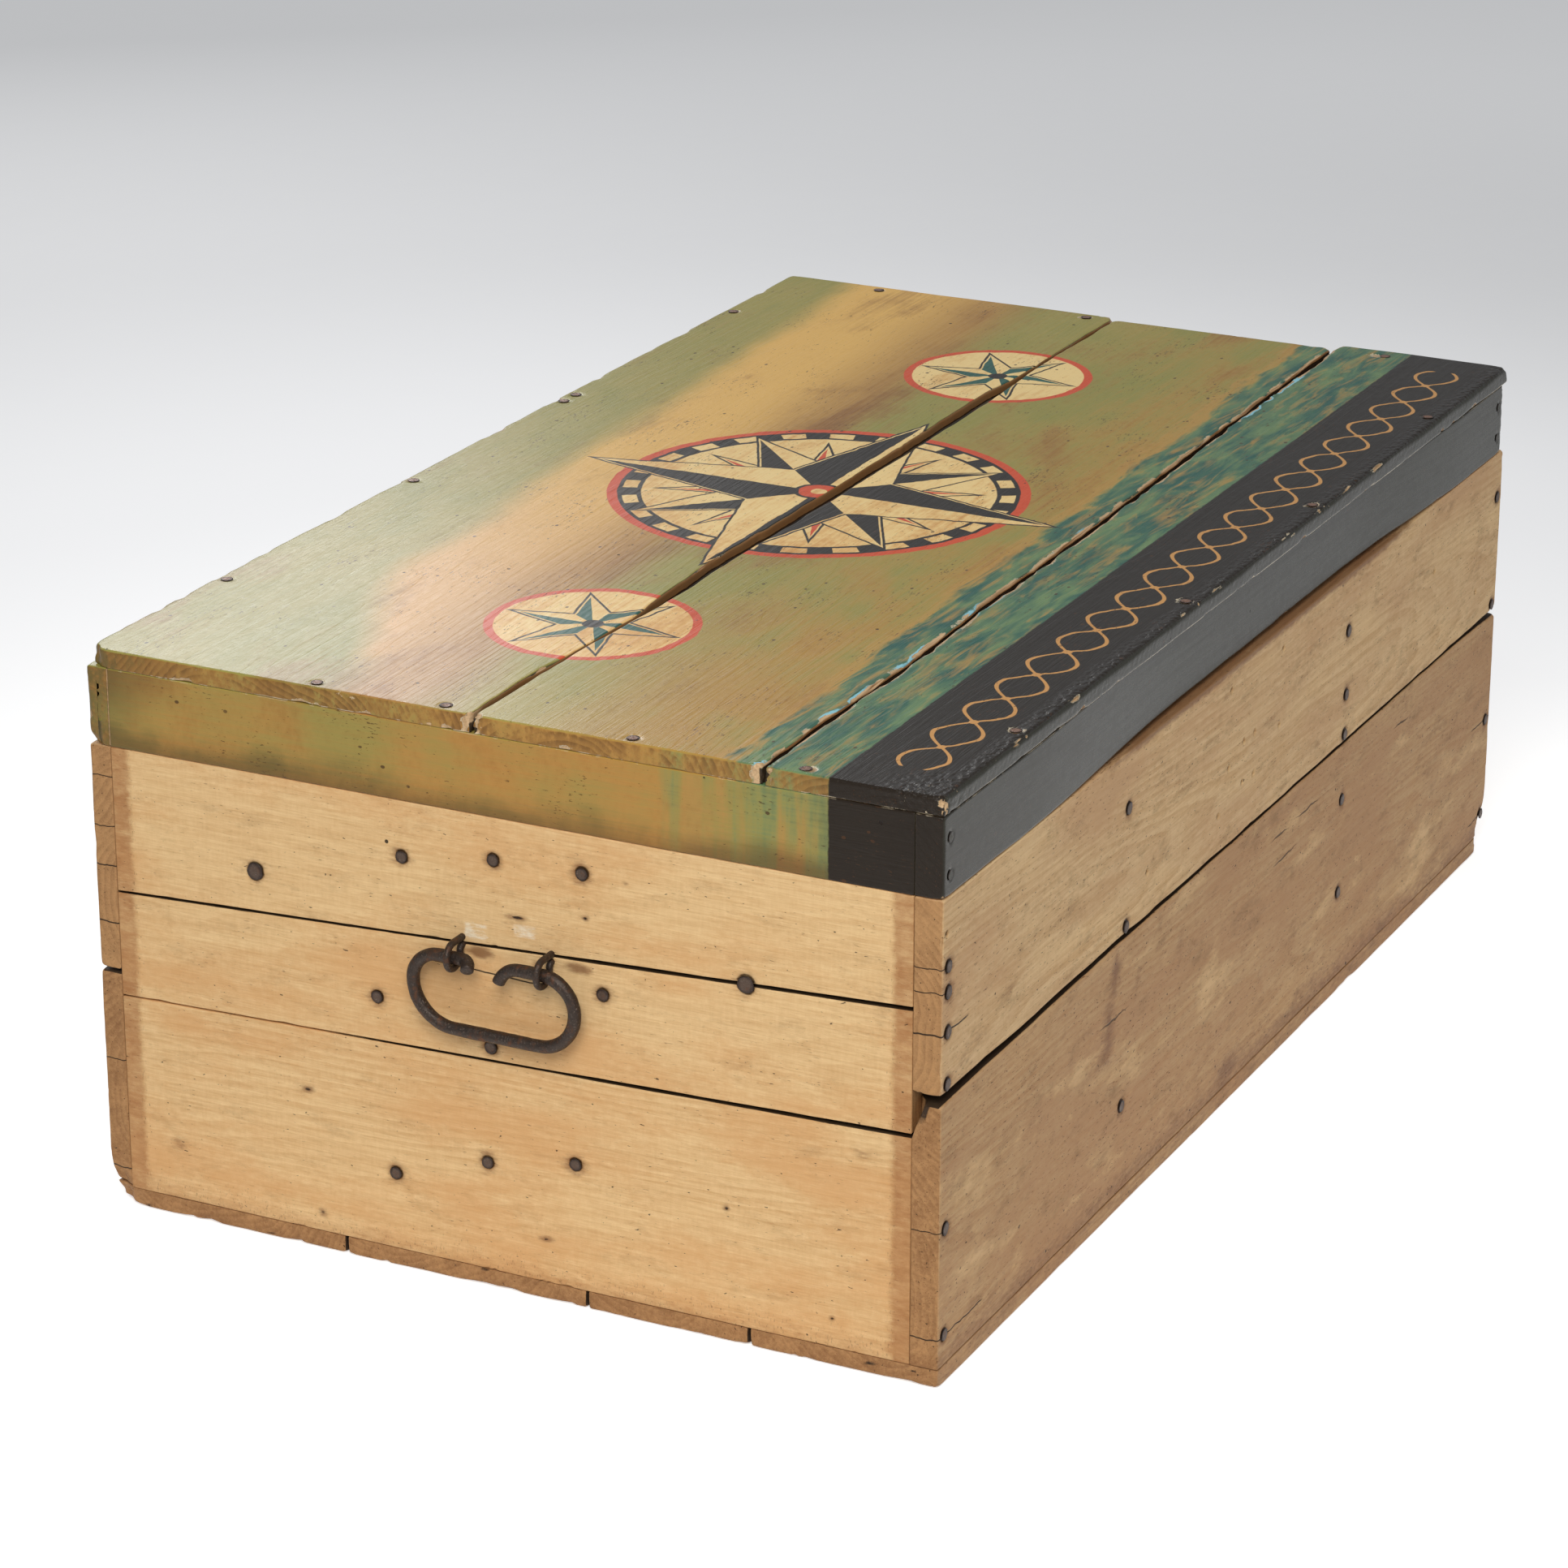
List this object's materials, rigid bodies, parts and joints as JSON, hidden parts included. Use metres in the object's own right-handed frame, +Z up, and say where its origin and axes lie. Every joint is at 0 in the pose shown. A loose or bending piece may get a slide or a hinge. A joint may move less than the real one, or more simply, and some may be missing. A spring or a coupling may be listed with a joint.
{
  "type": "sea chest",
  "caption": "Low boarded pine sea chest with a flat hinged lid, butt-nailed boards, inner battens and a swinging forged bail handle on each end.",
  "frame": {"origin": "middle of the case's underside, on the surface that the chest stands on", "axes": "+X along the length, -Y towards the front, +Z up; the lid hinges at the back on +Y, and the handles are on the -X and +X ends"},
  "size_m": [1.0214, 0.5879, 0.3741],
  "materials": {
    "scrubbed_pine": "bare scrubbed pine, worn satin",
    "inner_pine": "bare aged pine",
    "painted_pine": "worn old oil paint, satin",
    "forged_iron": "dark brown forged iron",
    "nail_iron": "dull worn iron"
  },
  "bodies": {
    "case": {"back_batten_left": "inner_pine", "back_batten_right": "inner_pine", "back_board_lower": "scrubbed_pine", "back_board_upper": "scrubbed_pine", "back_nails": "nail_iron", "bottom_board_1": "scrubbed_pine", "bottom_board_2": "scrubbed_pine", "bottom_board_3": "scrubbed_pine", "bottom_board_4": "scrubbed_pine", "bottom_nails": "nail_iron", "front_batten_left": "inner_pine", "front_batten_right": "inner_pine", "front_board_lower": "scrubbed_pine", "front_board_upper": "scrubbed_pine", "front_nails": "nail_iron", "hinge_case_leaf_left": "forged_iron", "hinge_case_leaf_right": "forged_iron", "hinge_case_screws": "forged_iron", "hinge_pin_left": "forged_iron", "hinge_pin_right": "forged_iron", "left_end_board_lower": "scrubbed_pine", "left_end_board_middle": "scrubbed_pine", "left_end_board_upper": "scrubbed_pine", "left_end_cleat": "inner_pine", "left_end_nails": "nail_iron", "left_handle_eyes": "forged_iron", "right_end_board_lower": "scrubbed_pine", "right_end_board_middle": "scrubbed_pine", "right_end_board_upper": "scrubbed_pine", "right_end_cleat": "inner_pine", "right_end_nails": "nail_iron", "right_handle_eyes": "forged_iron"},
    "lid": {"hinge_lid_leaf_left": "forged_iron", "hinge_lid_leaf_right": "forged_iron", "hinge_lid_screws": "forged_iron", "lid_back_rail": "painted_pine", "lid_board_back": "painted_pine", "lid_board_front": "painted_pine", "lid_board_middle": "painted_pine", "lid_front_rail": "painted_pine", "lid_left_rail": "painted_pine", "lid_rail_nails": "nail_iron", "lid_right_rail": "painted_pine", "lid_top_nails": "nail_iron"},
    "left_handle": {"left_handle_bail": "forged_iron"},
    "right_handle": {"right_handle_bail": "forged_iron"}
  },
  "joints": [
    {"name": "lid_hinge", "type": "hinge", "parent": "case", "child": "lid", "pos_m": [0, 0.29355, 0.31015], "axis": [-1, 0, 0], "range_deg": [0, 105]},
    {"name": "left_handle_swing", "type": "hinge", "parent": "case", "child": "left_handle", "pos_m": [-0.5002, 0, 0.2206], "axis": [0, 1, 0], "range_deg": [-7, 180]},
    {"name": "right_handle_swing", "type": "hinge", "parent": "case", "child": "right_handle", "pos_m": [0.5002, 0, 0.2206], "axis": [0, -1, 0], "range_deg": [-7, 180]}
  ]
}
